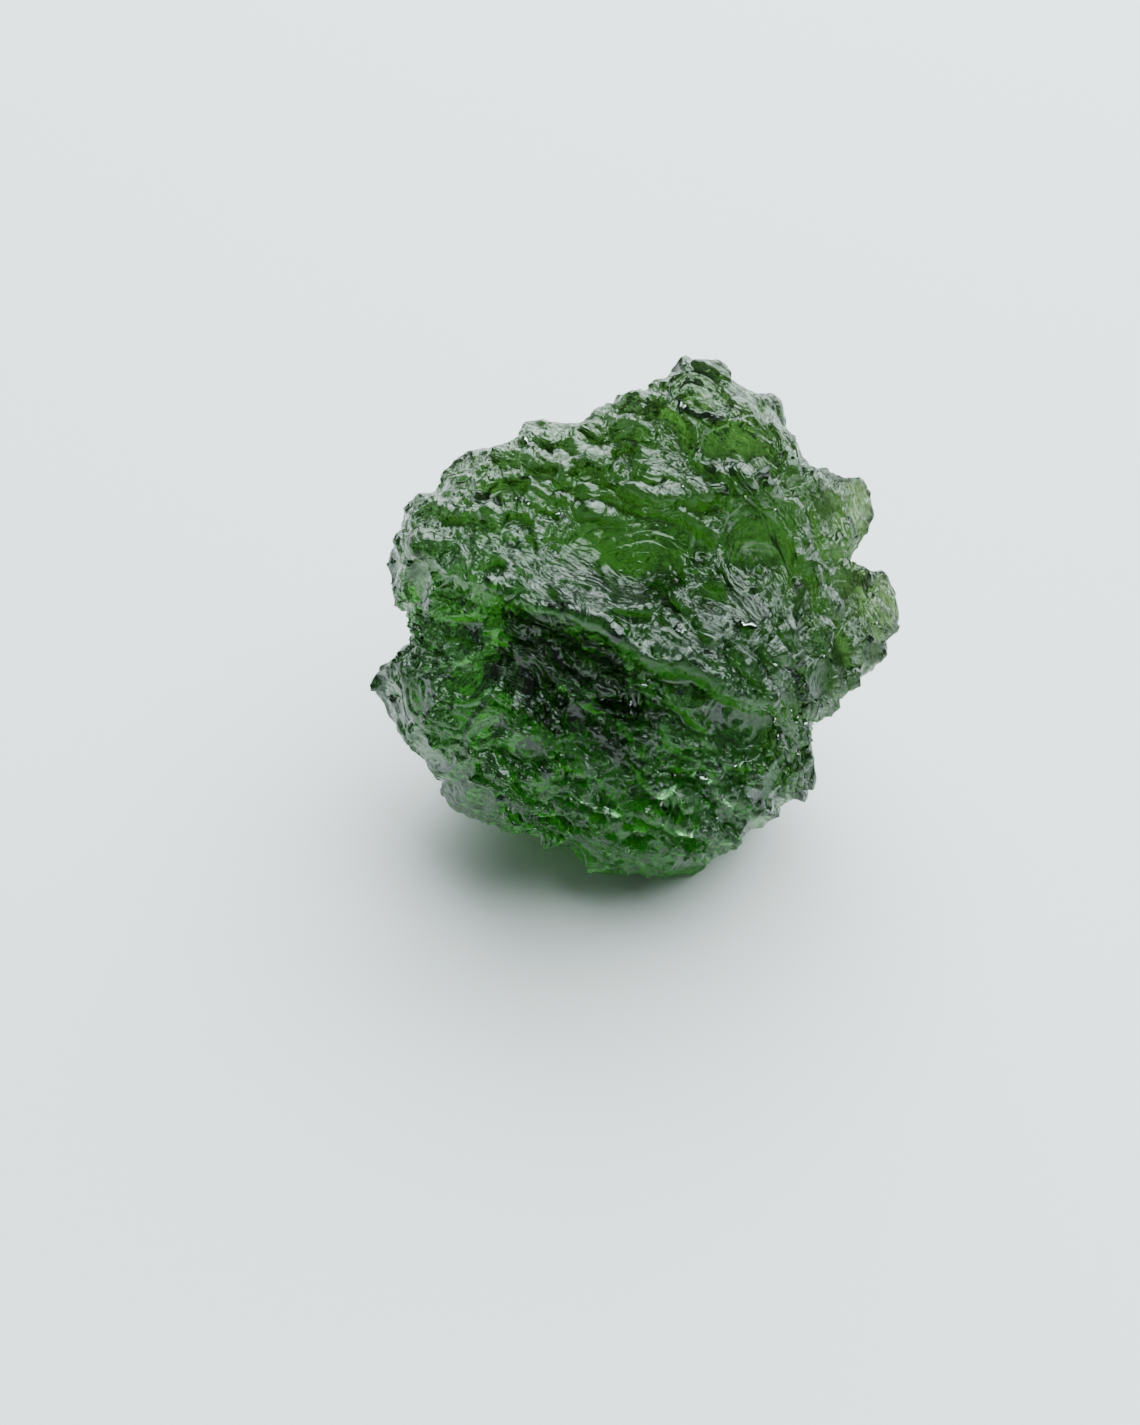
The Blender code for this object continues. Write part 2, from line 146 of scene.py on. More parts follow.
HEEL_SWELL = 8.7  # how much further back the lump reaches just above its foot
HEEL_UP = -8.5  # how high on the outline the heel reaches furthest
HEEL_HEIGHT = 6.5  # how far above and below that it fades
FOOT_CUT = 1.3  # height of the natural lowest point that the flat spot takes off
SKIN = 0.45  # glass outside the drawn form, about as much as etching takes off its rim
BLUNTNESS = 0.85  # power of the swell towards the rim: 1 is an egg, less is blunter
SPREAD = 0.94  # power that opens the ball's points out to the outline
SPHERE_STEPS = 8  # subdivisions of the ball that becomes the lump

# Scoops of the etched face: right, up, half length, half width, turn in degrees, depth, and for
# some how much deeper they cut towards their lower edge
BROAD_SCOOPS = [
    # the peak's three and the grey hollows beside them
    (4.4, 16.4, 2.7, 1.9, -32, 1.3, 0.3), (6.2, 12.0, 4.0, 2.0, 0, 1.8, 0.7),
    (0.9, 12.9, 1.6, 3.0, 12, 1.4, 0.6), (-0.2, 17.2, 1.4, 1.0, 0, 0.5),
    (7.9, 16.8, 1.3, 1.1, 20, 0.7), (10.1, 15.2, 1.2, 1.5, 20, 0.6),
    # the great bean-shaped scoop and its right-hand neighbours
    (0.4, 5.1, 6.3, 3.5, -5, 2.2, 0.9), (8.2, 4.6, 3.0, 4.5, 8, 2.0, 0.6),
    (5.6, 1.6, 2.9, 1.5, -15, 1.1), (11.4, 1.0, 1.5, 2.7, -18, 0.9),
    (12.4, 6.2, 1.3, 3.6, 12, 0.7),
    # upper lobe and lower lobe
    (14.2, 7.4, 2.2, 2.0, -10, 1.0), (16.6, 8.4, 1.2, 1.8, 0, 0.7), (16.0, 1.3, 3.1, 1.7, 8, 1.1),
    (16.6, -3.1, 1.6, 1.6, 0, 0.8), (13.2, -2.8, 1.6, 2.0, 15, 0.8),
    (12.0, -5.0, 2.0, 1.5, -30, 0.7),
    # left shoulder, in rows
    (-10.7, 8.2, 2.2, 1.6, -12, 1.1), (-8.0, 9.9, 1.5, 1.2, 0, 0.8),
    (-4.5, 10.3, 2.2, 0.9, -5, 0.9), (-2.5, 11.5, 1.3, 1.5, 0, 0.9),
    (-6.8, 12.2, 1.4, 0.7, 5, 0.6), (-11.9, 12.0, 2.0, 0.9, 18, 0.5),
    (-13.7, 9.8, 1.4, 1.0, 25, 0.5), (-8.8, 6.1, 1.7, 1.0, -8, 0.9),
    (-5.9, 5.2, 1.2, 1.7, 20, 0.8),
    # left end
    (-16.3, 2.8, 1.8, 1.9, -20, 1.1), (-13.9, 2.0, 1.6, 1.2, 0, 0.9),
    (-10.3, 3.6, 1.7, 0.9, -5, 0.8), (-17.6, 6.2, 1.1, 1.3, 0, 0.5),
    # the hollows in the shelf, and one under its lip
    (-3.0, 3.1, 2.4, 1.0, -12, 1.0), (-0.6, 1.2, 2.4, 0.8, -20, 0.9),
    (2.6, 0.0, 1.2, 0.6, -24, 0.6), (-5.6, -0.8, 1.4, 1.0, -30, 0.7),
    # below the shelf, left
    (-13.9, -0.6, 2.6, 1.2, 4, 1.0), (-10.4, -0.4, 1.1, 0.8, 0, 1.0),
    (-13.5, -4.4, 2.6, 1.6, 0, 0.9), (-9.2, -5.0, 1.5, 2.2, 15, 0.9),
    (-5.3, -7.4, 1.3, 2.0, 0, 0.9), (-12.0, -8.2, 2.2, 1.4, 10, 0.8),
    (-17.6, -5.4, 1.6, 2.0, 10, 0.6), (-9.0, -10.2, 2.4, 1.5, 20, 0.7),
    (-11.4, -13.2, 2.2, 1.8, -30, 0.6),
    # below the shelf, middle and right
    (6.5, -7.6, 2.4, 3.0, 10, 1.2), (9.6, -11.4, 2.2, 2.4, -10, 0.8),
]
NESTED_SCOOPS = [  # smaller scoops cut in the floors of the broad ones
    (0.7, 4.4, 3.5, 2.2, -14, 0.7, 0.4), (5.1, 5.4, 1.2, 1.9, 10, 0.7, 0.4),
    (0.9, 4.2, 2.0, 1.1, -14, 0.3), (8.1, 11.9, 1.8, 1.2, 0, 0.4),
    (3.5, 15.4, 1.4, 1.0, -20, 0.4), (9.0, 4.6, 1.6, 1.4, 0, 0.5), (16.8, 1.0, 1.3, 0.9, 10, 0.4),
    (6.5, -6.2, 1.4, 1.2, 0, 0.4), (-2.0, -17.5, 0.7, 0.7, 0, 0.5),
]
SCOOP_HARDNESS = 0.7  # power of a scoop's bowl: 1 is a shallow dish, 0.5 half an egg
SCOOP_REACH = 0.8  # how far a placed scoop reaches in, as a share of its longer half size
STEEPEST = 0.6  # least part of a slope's way out that is counted as facing the viewer
RIPPLE_LENGTH = 0.15  # of the rings that a scoop grew by, over 2 pi
RIPPLE_DEPTH = 0.045
RIPPLE_EDGE = 0.2  # height of the scoop's bowl by which they have come out

WARP = [(2.6, 0.50), (1.2, 0.24)]  # waves that bend every scoop's edge: length, reach
WARP_TURNS = (1.7, 2.9)  # any angles that set the three axes' waves apart
WARP_QUICKENING = 1.3  # how much shorter the second wave of each axis is
FULL_DEPTH = 0.7  # depth of a placed scoop at which it has worn away what was there before
LEFT_OVER = 0.4  # share of the scoops spread by rule that still shows in it

# Scoops spread by rule, broad on the sides and back and small between the placed ones
SPREAD_SCOOPS = 560
BACK_RADIUS = (1.6, 4.2)
FACE_RADIUS = (1.3, 2.9)
FACE_LEAN = 0.5  # how squarely a spot has to face the viewer to count as the etched face
SPREAD_STRETCH = (0.6, 0.95)  # their width as a share of their length
SPREAD_LEAN = 0.3  # keeps the line that they are turned about off their own way out
SPREAD_DEPTH = 0.40  # share of the radius
SPREAD_JITTER = (0.04, 0.25)  # how far they stray from even rows, up the ball and round it
SPREAD_SEED = 11


def sight_axes():
    """Right, up and towards the viewer, as seen along the etched face's sight line."""
    tilt = bpy.context.scene.moldavite_shape.face_tilt
    right = np.array((1.0, 0.0, 0.0))
    up = np.array((0.0, math.sin(tilt), math.cos(tilt)))
    return right, up, np.cross(right, up)


def outline_radius(angle, inward):
    """Distance from the centre to the outline at these angles, averaged where inward is near 1."""
    corners = np.array(OUTLINE)
    turn = np.degrees(np.arctan2(corners[:, 1], corners[:, 0])) % 360
    order = np.argsort(turn)
    length = np.hypot(*corners.T)[order]
    turn = turn[order]
    degrees = np.degrees(angle)
    sharp = np.interp(degrees, turn, length, period=360)
    offsets = np.linspace(-OUTLINE_SMOOTHING, OUTLINE_SMOOTHING, OUTLINE_SAMPLES)
    weights = np.cos(np.radians(90 * offsets / (OUTLINE_SMOOTHING + OUTLINE_FADE)))
    soft = sum(weight * np.interp(degrees + offset, turn, length, period=360)
               for offset, weight in zip(offsets, weights))
    return sharp + (soft / weights.sum() - sharp) * inward


def smooth_step(low, high, value):
    """From 0 at low to 1 at high, smoothed at both ends."""
    share = np.clip((value - low) / (high - low), 0, 1)
    return share * share * (3 - 2 * share)


def winding(along, waves):
    """A sum of waves along a line, each with its length, reach and phase."""
    return sum(reach * np.sin(along / length + phase) for length, reach, phase in waves)


def brow(right, up):
    """How far the brow over the great scoop stands out."""
    above = up - np.interp(right, *np.array(BROW).T) + winding(right, SHELF_WANDER[1:])
    coming = np.clip(1 - above / BROW_HEIGHT, 0, 1) ** SHELF_STEEPENING
    swell = np.where(above > 0, coming, smooth_step(-BROW_LIP, 0, above))
    left, full, last, gone = BROW_ENDS
    return BROW_RISE * swell * smooth_step(left, full, right) * smooth_step(gone, last, right)


def lump_form(ball):
    """The lump before etching, in sight axes, for points on the unit ball."""
    across = np.hypot(ball[:, 0], ball[:, 1])
    angle = np.arctan2(ball[:, 1], ball[:, 0])
    radius = outline_radius(angle, 1 - across**OUTLINE_POWER) * across**SPREAD
    right, up = radius * np.cos(angle), radius * np.sin(angle)
    toward = ball[:, 2]

    above = up - np.interp(right, *np.array(SHELF).T) + winding(right, SHELF_WANDER)
    thin = 1 - WING_THINNING * smooth_step(*WING_SPAN, right)
    dome = np.abs(toward) ** BLUNTNESS
    front = FRONT_SWELL * thin - np.where(above > 0, SLOPE_ABOVE, -SLOPE_BELOW) * above
    front += SHELF_RISE * np.clip(1 - above / SHELF_HEIGHT, 0, 1) ** SHELF_STEEPENING
    front -= WING_LEAN * (up - WING_MIDDLE) * smooth_step(*WING_LEAN_SPAN, right)
    front += brow(right, up) - SHELF_DROP * smooth_step(0, -SHELF_LIP, above)
    back = BACK_SWELL * thin + HEEL_SWELL * np.exp(-(((up - HEEL_UP) / HEEL_HEIGHT) ** 2))
    depth = np.where(toward > 0, front, -back) * dome
    for length, height in SWELLS:
        bend = SWELL_BEND * np.sin(up / (SWELL_BEND_LENGTH * length))
        depth += height * dome * np.sin(right / length + bend) * np.cos(
            up / length + np.sin(depth / length))
    rim = sum(size * np.sin(count * angle + math.radians(phase))
              for count, size, phase in RIM_WAVES)
    return np.column_stack((right, up, depth + rim * across**RIM_POWER))


def outward(ball):
    """The smooth way out of the lump along which etching cuts, for points on the unit ball."""
    way = ball * (FLATNESS, FLATNESS, 1.0)
    return way / np.linalg.norm(way, axis=1)[:, None]


def noise(points, length):
    """Smooth random numbers from -1 to 1 that change over about this length."""
    cell = np.floor(points / length)
    share = points / length - cell
    share = share * share * (3 - 2 * share)
    total = np.zeros(len(points))
    for corner in itertools.product((0, 1), repeat=3):
        weight = np.prod(np.where(corner, share, 1 - share), axis=1)
        jumble = np.sin((cell + corner) @ NOISE_MIX) * NOISE_SPREAD
        total += weight * (jumble - np.floor(jumble))
    return 2 * total - 1


def ledges(points):
    """Broken ledges that climb the front like stairs, as a height to add."""
    right, up, toward = points.T
    above = up - np.interp(right, *np.array(SHELF).T)
    stray = sum(weight * noise(points, length) for length, weight in LEDGE_NOISE)
    height = np.zeros(len(points))
    length, low, high = LEDGE_GAPS
    kept = np.maximum(smooth_step(low, high, noise(points, length)), smooth_step(-1, 1, above))
    for side, start, spacing, depth, share, wander in LEDGES:
        rise = (above / spacing + wander * stray) % 1
        stairs = np.where(rise < share, rise / share, (1 - rise) / (1 - share))
        height += depth * kept * stairs * smooth_step(LEDGE_START * start, start, side * above)
    return height * smooth_step(*LEDGE_FRONT, toward)


def bent(points):
    """The points moved about by smooth waves, so that no scoop's edge is a true ellipse."""
    moved = points.copy()
    first, second = WARP_TURNS
    for length, reach in WARP:
        for axis in range(3):
            other, third = points[:, (axis + 1) % 3] / length, points[:, (axis + 2) % 3] / length
            moved[:, axis] += reach * (np.sin(other + first * axis)
                                       + np.sin(WARP_QUICKENING * third + second * axis))
    return moved


def scoop_depth(points, centre, axes, half_sizes, depth, lean=0.0):
    """How deep one bowl cuts at each point: an egg-shaped dent with a hard edge."""
    local = (points - centre) @ np.array(axes).T / np.array(half_sizes)
    ring = (local**2).sum(axis=1)
    bowl = np.clip(1 - ring, 0, 1)
    ripples = RIPPLE_DEPTH * np.sin(np.sqrt(ring) * max(half_sizes) / RIPPLE_LENGTH)
    cut = depth * bowl**SCOOP_HARDNESS * (1 - lean * local[:, 1])
    return cut + np.where(bowl > 0, ripples * smooth_step(0, RIPPLE_EDGE, bowl), 0)


def placed_scoops(points, ways, scoops):
    """The deepest of the placed scoops at each point of the etched face."""
    cut = np.zeros(len(points))
    facing = np.where(ways[:, 2] > 0)[0]
    for right, up, half_length, half_width, turn, depth, *lean in scoops:
        gap = np.hypot(points[facing, 0] - right, points[facing, 1] - up)
        spot = facing[np.argmin(gap)]
        out = ways[spot]
        angle = math.radians(turn)
        along = np.array((math.cos(angle), math.sin(angle), 0.0))
        along -= out * (along @ out)
        along /= np.linalg.norm(along)
        axes = (along, np.cross(out, along), out)
        # On a slope the scoop keeps the width that it shows along the sight line.
        sizes = (half_length, half_width / max(STEEPEST, out[2]),
                 SCOOP_REACH * max(half_length, half_width))
        cut = np.maximum(cut, scoop_depth(points, points[spot], axes, sizes, depth, *lean))
    return cut


def spread_scoops(points, ways):
    """Scoops spread all over the lump, small on the etched face and broad elsewhere."""
    rng = random.Random(SPREAD_SEED)
    golden = math.pi * (3 - math.sqrt(5))
    cut = np.zeros(len(points))
    for i in range(SPREAD_SCOOPS):
        height = 1 - 2 * (i + 0.5) / SPREAD_SCOOPS + rng.uniform(-1, 1) * SPREAD_JITTER[0]
        height = max(-1.0, min(1.0, height))
        angle = i * golden + rng.uniform(-1, 1) * SPREAD_JITTER[1]
        flat = math.sqrt(1 - height * height)
        seed = lump_form(np.array([(flat * math.cos(angle), flat * math.sin(angle), height)]))[0]
        size, stretch, turn = rng.random(), rng.uniform(*SPREAD_STRETCH), rng.uniform(0, math.pi)
        spot = np.argmin(((points - seed) ** 2).sum(axis=1))
        out = ways[spot]
        least, most = FACE_RADIUS if out[2] > FACE_LEAN else BACK_RADIUS
        radius = least + (most - least) * size
        along = np.cross(out, (math.sin(turn), math.cos(turn), SPREAD_LEAN))
        along /= np.linalg.norm(along)
        axes = (along, np.cross(out, along), out)
        sizes = (radius, radius * stretch, radius)
        depth = SPREAD_DEPTH * radius * stretch
        cut = np.maximum(cut, scoop_depth(points, points[spot], axes, sizes, depth))
    return cut


def make_form():
    """The scooped lump as a fine closed mesh, with what the etching needs kept on its points.

    The attribute flow holds each point's place along and across the glass's flow lines, worn how
    far a placed scoop has smoothed the surface there, and rim how near to the outline it lies.
    """
    grid = bmesh.new()
    bmesh.ops.create_icosphere(grid, subdivisions=SPHERE_STEPS, radius=1.0)
    mesh = bpy.data.meshes.new(NODE)
    grid.to_mesh(mesh)
    grid.free()

    ball = np.empty(len(mesh.vertices) * 3)
    mesh.vertices.foreach_get("co", ball)
    ball = ball.reshape(-1, 3)
    points, ways = lump_form(ball), outward(ball)
    wavy = bent(points)
    placed = placed_scoops(wavy, ways, BROAD_SCOOPS)
    between = 1 - smooth_step(0.0, FULL_DEPTH, placed)
    spread = spread_scoops(wavy, ways) * (LEFT_OVER + (1 - LEFT_OVER) * between)
    cut = np.maximum(placed, spread)
    cut += placed_scoops(wavy, ways, NESTED_SCOOPS) - ledges(points) * between
    points += ways * (SKIN - cut)[:, None]
    flow = points.copy()
    flow[:, 1] -= np.interp(flow[:, 0], *np.array(FLOW).T)
    rim = np.hypot(ball[:, 0], ball[:, 1])
    mesh.attributes.new("flow", "FLOAT_VECTOR", "POINT").data.foreach_set("vector", flow.ravel())
    mesh.attributes.new("worn", "FLOAT", "POINT").data.foreach_set("value", 1 - between)
    mesh.attributes.new("rim", "FLOAT", "POINT").data.foreach_set("value", rim)

    points = points @ np.array(sight_axes())
    low, high = points.min(axis=0), points.max(axis=0)
    points -= ((low[0] + high[0]) / 2, (low[1] + high[1]) / 2, low[2] + FOOT_CUT)
    mesh.vertices.foreach_set("co", (points * MM).ravel())
    mesh.update()
    return mesh


MIDDLE = 0.5  # of the numbers that a noise gives


class Tree:
    """A few short cuts for building a node tree."""

    def __init__(self, nodes_of):
        self.tree = nodes_of
        self.nodes = nodes_of.nodes
        self.links = nodes_of.links

    def add(self, kind, settings=None, **inputs):
        """A new node with these settings and inputs: numbers, colours or other nodes' sockets."""
        node = self.nodes.new(kind)
        for name, value in (settings or {}).items():
            setattr(node, name, value)
        for name, value in inputs.items():
            self.feed(node.inputs[name.replace("_", " ")], value)
        return node

    def feed(self, socket, value):
        """Link a socket to this one, or set its plain value."""
        if isinstance(value, bpy.types.NodeSocket):
            self.links.new(value, socket)
        else:
            socket.default_value = value

    def math(self, operation, first, second=0.0, third=0.0):
        """The result of one step of arithmetic on numbers."""
        node = self.nodes.new("ShaderNodeMath")
        node.operation = operation
        for socket, value in zip(node.inputs, (first, second, third)):
            self.feed(socket, value)
        return node.outputs[0]

    def vector(self, operation, first, second=(0.0, 0.0, 0.0), scale=None):
        """The result of one step of arithmetic on vectors."""
        node = self.nodes.new("ShaderNodeVectorMath")
        node.operation = operation
        self.feed(node.inputs[0], first)
        if scale is None:
            self.feed(node.inputs[1], second)
        else:
            self.feed(node.inputs["Scale"], scale)
        return node.outputs["Value" if operation in {"DOT_PRODUCT", "LENGTH"} else "Vector"]

    def ramp(self, value, low, high, start=0.0, end=1.0):
        """A smooth change from start to end as the value goes from low to high."""
        node = self.add("ShaderNodeMapRange", {"interpolation_type": "SMOOTHSTEP"})
        for name, number in (("Value", value), ("From Min", low), ("From Max", high),
                             ("To Min", start), ("To Max", end)):
            self.feed(node.inputs[name], number)
        return node.outputs["Result"]

    def between(self, share, first, second):
        """The number that lies this share of the way from first to second."""
        return self.math("MULTIPLY_ADD", share, second - first, first)

    def part(self, vector, axis):
        """One part of a vector: X, Y or Z."""
        return self.add("ShaderNodeSeparateXYZ", Vector=vector).outputs[axis]

    def moved_about(self, place, reach, noise):
        """The place moved any way by noise, with its reach in millimetres."""
        drift = self.centred(self.add("ShaderNodeTexNoise", Vector=place, **noise))
        return self.vector("ADD", place, self.vector("SCALE", drift, scale=reach))

    def centred(self, texture):
        """The texture's colour as a vector whose parts go both ways from zero."""
        return self.vector("SUBTRACT", texture.outputs["Color"], (MIDDLE, MIDDLE, MIDDLE))


# The small etching. Its lengths are in millimetres, and a pair ending in SIDES holds a value below
# the shelf and one above it.
SHELF_FADE = (-1.5, 0.5)  # heights between which the etching changes from one side to the other
SEED_SHIFT = 31.7  # from the etching of one seed to that of the next
DRIFT = 1.6  # how far noise moves all of it about
DRIFT_NOISE = {"Scale": 0.7, "Detail": 4.0, "Roughness": 0.6}
# Bowls side by side with sharp ridges between: size, depth as a share of it
BOWL_SIZES = [(2.2, 0.15), (1.0, 0.35)]
BOWL_SIDES = (0.3, 1.0)
# Flecks, flat facets of which some look up: size, share that look up
FLECK_SIZES = [(2.1, 0.52), (1.1, 0.35)]
FLECK_SIDES = (1.0, 0.35)
FLECK_SLOPE = -1.0  # how those rise, going up the face
FLECK_LEAN = 0.7  # how steeply each may lean any way besides
FLECK_STRETCH = (0.6, 1.1, 1.0)  # of bowls and flecks along and across the flow
# Small ledges: spacing, share of their depth
STEP_SIZES = [(1.9, 1.0), (1.0, 0.5)]
STEP_SIDES = (0.5, 0.7)
STEP_WANDER_SIDES = (3.0, 1.6)
STEP_SHARE = 0.42  # how much of a small ledge climbs before it falls back
STEP_STRETCH = (0.5, 1.0, 1.0)  # of the noise that bends them
STEP_WAVES = 0.5  # how many of its waves there are to one ledge
STEP_NOISE = {"Detail": 3.0, "Roughness": 0.6}
# Where it all grows calm: a value's start and end, and the etching's share there
RIM_CALM = (0.85, 0.97, 1.0, 0.3)
FOOT_CALM = (4.0, 9.0, 0.5, 1.0)
WORN_CALM = (0.1, 0.8, 1.0, 0.05)
WORN_LIFT = (0.7, 0.92, 1.0, 0.4)  # what looks up counts as less worn
QUIET_PATCHES = (0.42, 0.54, 0.2, 1.0)  # in noise, and only below the shelf
QUIET_NOISE = {"Scale": 0.2, "Detail": 2.0}
DEEPEST, HIGHEST = -0.6, 0.8  # past which nothing is cut or left standing
RELIEF_STEPS = 48  # how far the surface is blurred to tell ridges from hollows


def etching_tree(glass):
    """Cuts bowls, flecks and small ledges along the normal, and keeps the relief and slope."""
    group = bpy.data.node_groups.new("moldavite_etching", "GeometryNodeTree")
    tree = Tree(group)
    face = group.interface
    face.new_socket("Geometry", in_out="INPUT", socket_type="NodeSocketGeometry")
    for name in ("Bowl Depth", "Fleck Tilt", "Step Depth", "Etching Scale"):
        face.new_socket(name, in_out="INPUT", socket_type="NodeSocketFloat")
    face.new_socket("Seed", in_out="INPUT", socket_type="NodeSocketInt")
    face.new_socket("Geometry", in_out="OUTPUT", socket_type="NodeSocketGeometry")
    given = group.nodes.new("NodeGroupInput").outputs
    out = group.nodes.new("NodeGroupOutput").inputs

    flow, worn, rim = (
        tree.add("GeometryNodeInputNamedAttribute", {"data_type": kind}, Name=name).outputs[0]
        for name, kind in (("flow", "FLOAT_VECTOR"), ("worn", "FLOAT"), ("rim", "FLOAT")))
    here = tree.add("GeometryNodeInputPosition").outputs[0]
    shift = tree.math("MULTIPLY", given["Seed"], SEED_SHIFT)
    moved = tree.vector("ADD", flow, tree.add("ShaderNodeCombineXYZ", X=shift).outputs[0])
    place = tree.moved_about(moved, DRIFT, DRIFT_NOISE)
    spot = tree.vector("MULTIPLY", place, FLECK_STRETCH)
    level = tree.part(place, "Y")
    above = tree.ramp(level, *SHELF_FADE)

    depth = 0.0
    bowls = tree.math("MULTIPLY", given["Bowl Depth"], tree.between(above, *BOWL_SIDES))
    for size, share in BOWL_SIZES:
        scale = tree.math("DIVIDE", 1 / size, given["Etching Scale"])
        reach = tree.add("ShaderNodeTexVoronoi", Vector=spot, Scale=scale).outputs["Distance"]
        bowl = tree.math("MULTIPLY", tree.math("MULTIPLY", reach, reach), size * share)
        depth = tree.math("MULTIPLY_ADD", bowl, bowls, depth)

    flecks = tree.math("MULTIPLY", given["Fleck Tilt"], tree.between(above, *FLECK_SIDES))
    for size, share in FLECK_SIZES:
        scale = tree.math("DIVIDE", 1 / size, given["Etching Scale"])
        chips = tree.add("ShaderNodeTexVoronoi", Vector=spot, Scale=scale)
        looks_up = tree.math("LESS_THAN", tree.part(chips.outputs["Color"], "Z"), share)
        slope = tree.math("MULTIPLY", looks_up, FLECK_SLOPE)
        tilt = tree.vector("ADD", tree.vector("SCALE", tree.centred(chips), scale=FLECK_LEAN),
                           tree.add("ShaderNodeCombineXYZ", Y=slope).outputs[0])
        reach = tree.vector("SUBTRACT", spot, chips.outputs["Position"])
        depth = tree.math("MULTIPLY_ADD", tree.vector("DOT_PRODUCT", tilt, reach), flecks, depth)

    ledge = tree.math("MULTIPLY", given["Step Depth"], tree.between(above, *STEP_SIDES))
    wander = tree.between(above, *STEP_WANDER_SIDES)
    for spacing, share in STEP_SIZES:
        stray = tree.add("ShaderNodeTexNoise", Vector=tree.vector("MULTIPLY", place, STEP_STRETCH),
                         Scale=STEP_WAVES / spacing, **STEP_NOISE)
        stairs = tree.math("DIVIDE", level, spacing)
        rise = tree.math("FRACT", tree.math("MULTIPLY_ADD", stray.outputs[0], wander, stairs))
        step = tree.math("MINIMUM", tree.math("DIVIDE", rise, STEP_SHARE), tree.math(
            "DIVIDE", tree.math("SUBTRACT", 1.0, rise), 1 - STEP_SHARE))
        depth = tree.math("MULTIPLY_ADD", tree.math("MULTIPLY", step, share), ledge, depth)

    foot = tree.math("DIVIDE", tree.part(here, "Z"), MM)
    calm = tree.math("MULTIPLY", tree.ramp(rim, *RIM_CALM), tree.ramp(foot, *FOOT_CALM))
    quiet = tree.add("ShaderNodeTexNoise", Vector=moved, **QUIET_NOISE).outputs[0]
    quiet = tree.math("MAXIMUM", tree.ramp(quiet, *QUIET_PATCHES), above)
    normal = tree.add("GeometryNodeInputNormal").outputs[0]
    lift = tree.part(normal, "Z")
    worn = tree.math("MULTIPLY", worn, tree.ramp(lift, *WORN_LIFT))
    rough = tree.math("MULTIPLY", tree.ramp(worn, *WORN_CALM), tree.math("MULTIPLY", calm, quiet))
    depth = tree.math("MAXIMUM", tree.math("MULTIPLY", depth, rough), DEEPEST)
    depth = tree.math("MULTIPLY", tree.math("MINIMUM", depth, HIGHEST), MM)
    etched = tree.add("GeometryNodeSetPosition", Geometry=given["Geometry"],
                      Offset=tree.vector("SCALE", normal, scale=depth))

    # Nothing reaches below the floor.
    axes = tree.add("ShaderNodeSeparateXYZ", Vector=here).outputs
    flat = tree.add("ShaderNodeCombineXYZ", X=axes["X"], Y=axes["Y"],
                    Z=tree.math("MAXIMUM", axes["Z"], 0.0))
    resting = tree.add("GeometryNodeSetPosition", Geometry=etched.outputs[0],
                       Position=flat.outputs[0])

    blurred = tree.add("GeometryNodeBlurAttribute", {"data_type": "FLOAT_VECTOR"},
                       Iterations=RELIEF_STEPS)
    tree.feed(blurred.inputs["Value"], here)
    relief = tree.vector("SUBTRACT", here, blurred.outputs["Value"])
    relief = tree.math("DIVIDE", tree.vector("DOT_PRODUCT", relief, normal), MM)
    geometry = resting.outputs[0]
    for name, value in (("relief", relief), ("lift", lift)):
        kept = tree.add("GeometryNodeStoreNamedAttribute",
                        {"data_type": "FLOAT", "domain": "POINT"}, Geometry=geometry, Name=name)
        tree.feed(kept.inputs["Value"], value)
        geometry = kept.outputs[0]
    smooth = tree.add("GeometryNodeSetShadeSmooth", Geometry=geometry)
    whole = tree.add("GeometryNodeRealizeInstances", Geometry=smooth.outputs[0])
    dressed = tree.add("GeometryNodeSetMaterial", Geometry=whole.outputs[0], Material=glass)
    tree.feed(out[0], dressed.outputs[0])
    return group


# The glass. These hold a value's start and end and the result at each, or 0 and 1 where none is
# given. Lengths are in millimetres.
CLEAR_WORN = (0.3, 0.9)  # how worn a scoop is that stays clear of frost
CLEAR_LIFT = (0.7, 0.9, 1.0, 0.3)  # and less so where it looks up
FROST_IN_CLEAR = 0.15  # share of the frost that is left there
FROST_LIFT = (0.55, 0.85)  # how much a frosted spot looks up
FROST_RELIEF = (0.10, 0.30, 0.0, 0.6)  # how far a frosted ridge stands out
FROST_BACK = (1.0, -3.0)  # depth on the back
FROST_LOBES = (12.0, 14.5, 0.0, 0.5)  # how far right the lobes' frost begins
CRINKLE_DRIFT = 0.9  # how far noise bends the crinkles
CRINKLE_DRIFT_NOISE = {"Scale": 0.6, "Detail": 3.0}
FIBRE_STRETCH = (0.35, 2.0, 1.2)
FIBRE_NOISE = {"Scale": 1.1, "Detail": 2.0, "Roughness": 0.55}
FIBRE_HEIGHT = 1.5
DENT_STRETCH = (0.6, 1.3, 1.0)
DENT_SCALE = 1.8
DENT_HEIGHT = 0.5
CRINKLE_SHARES = (0.13, 1.0)  # where the glass is clear, and where it is frosted
CRINKLE_DEPTH = 0.00035  # metres
LOW_NOISE = {"Scale": 0.16, "Detail": 3.0}
LOW_WANDER = -8.0  # how far noise moves the change from the upper skin to the lower one
LOW = (1.0, -9.0)  # heights from the shelf at which it starts and is over
CREVICE_SHADE = (-0.06, -0.32, 1.0, 0.3)  # how far in a crevice lies where shade is painted into the skin
PATCH_STRETCH = (0.6, 1.0, 1.0)
PATCH_NOISE = {"Scale": 0.3, "Detail": 6.0, "Roughness": 0.6}
SHADE_MIDDLE = (-4.0, -4.5, 0.0)  # where the painted shade is deepest, along and across the flow lines
MIDDLE_STRETCH = (0.75, 1.0, 0.0)
NEAR_MIDDLE = (2.0, 7.5, 0.20, 0.0)  # what being near it adds to the patches' noise
SHADE_PATCHES = (0.615, 0.645, 1.0, 0.05)  # in that noise, where shade is painted into the skin
